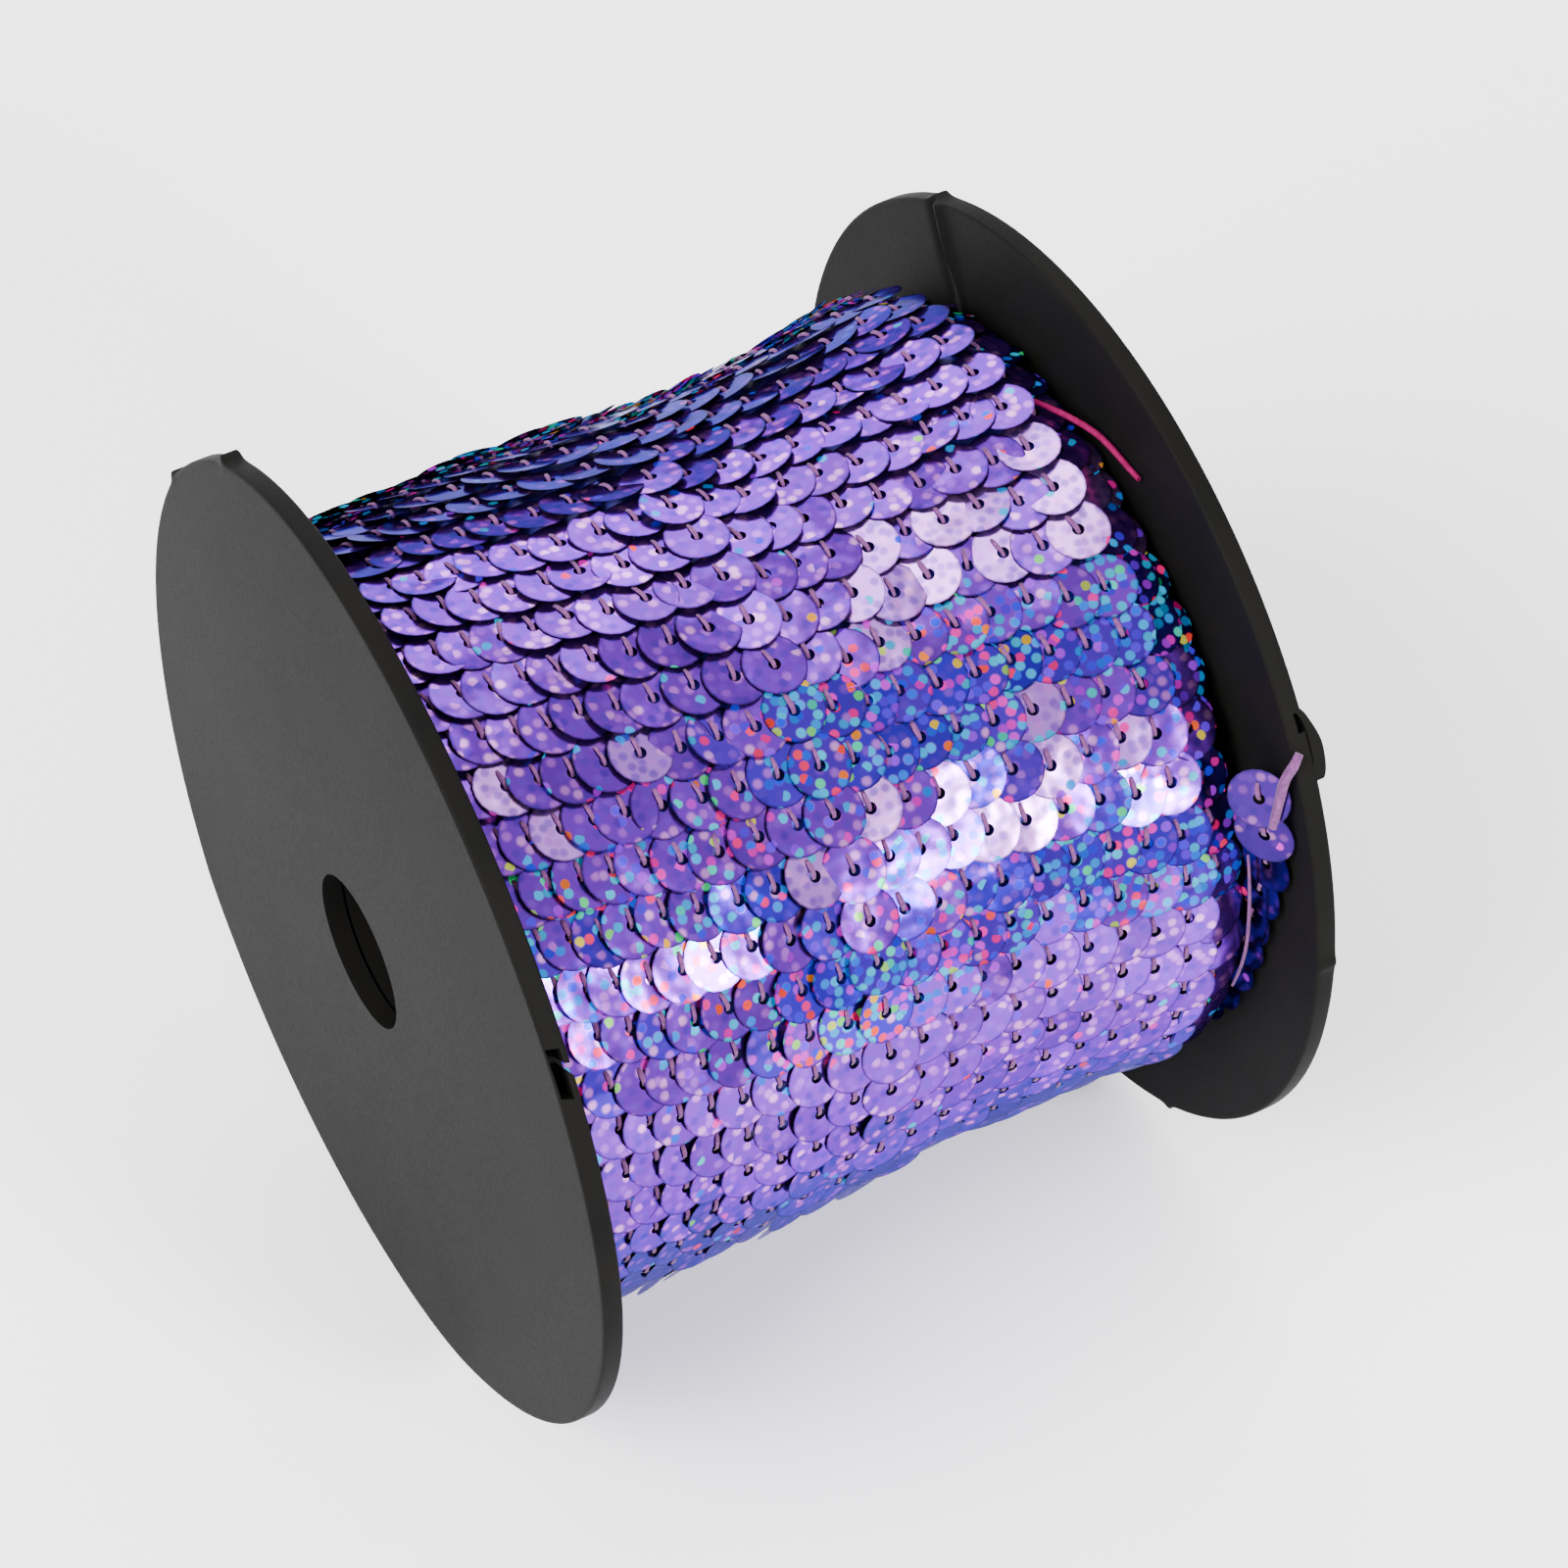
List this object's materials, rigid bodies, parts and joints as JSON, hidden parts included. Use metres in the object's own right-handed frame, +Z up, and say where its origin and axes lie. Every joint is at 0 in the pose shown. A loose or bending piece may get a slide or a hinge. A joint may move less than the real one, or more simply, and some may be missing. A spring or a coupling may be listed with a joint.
{
  "type": "reel of sequin trim",
  "caption": "Round-flanged plastic reel wound full with a single strand of small overlapping foil sequins, its loose end led up to a thread notch in the rim.",
  "frame": {"origin": "on the surface the reel lies on, under the middle of its bounding box", "axes": "+X along the reel's axis from the near disc to the far disc, +Z up, -Y the side that the camera sees"},
  "size_m": [0.076, 0.095, 0.0947],
  "materials": {
    "reel_plastic": "matte moulded black plastic",
    "sequin_foil": "violet holographic foil sequins stitched in a chain"
  },
  "bodies": {
    "root": {"disc_near": "reel_plastic", "disc_far": "reel_plastic", "core_tube": "reel_plastic", "winding": "sequin_foil", "trim_tail": "sequin_foil"}
  },
  "joints": []
}
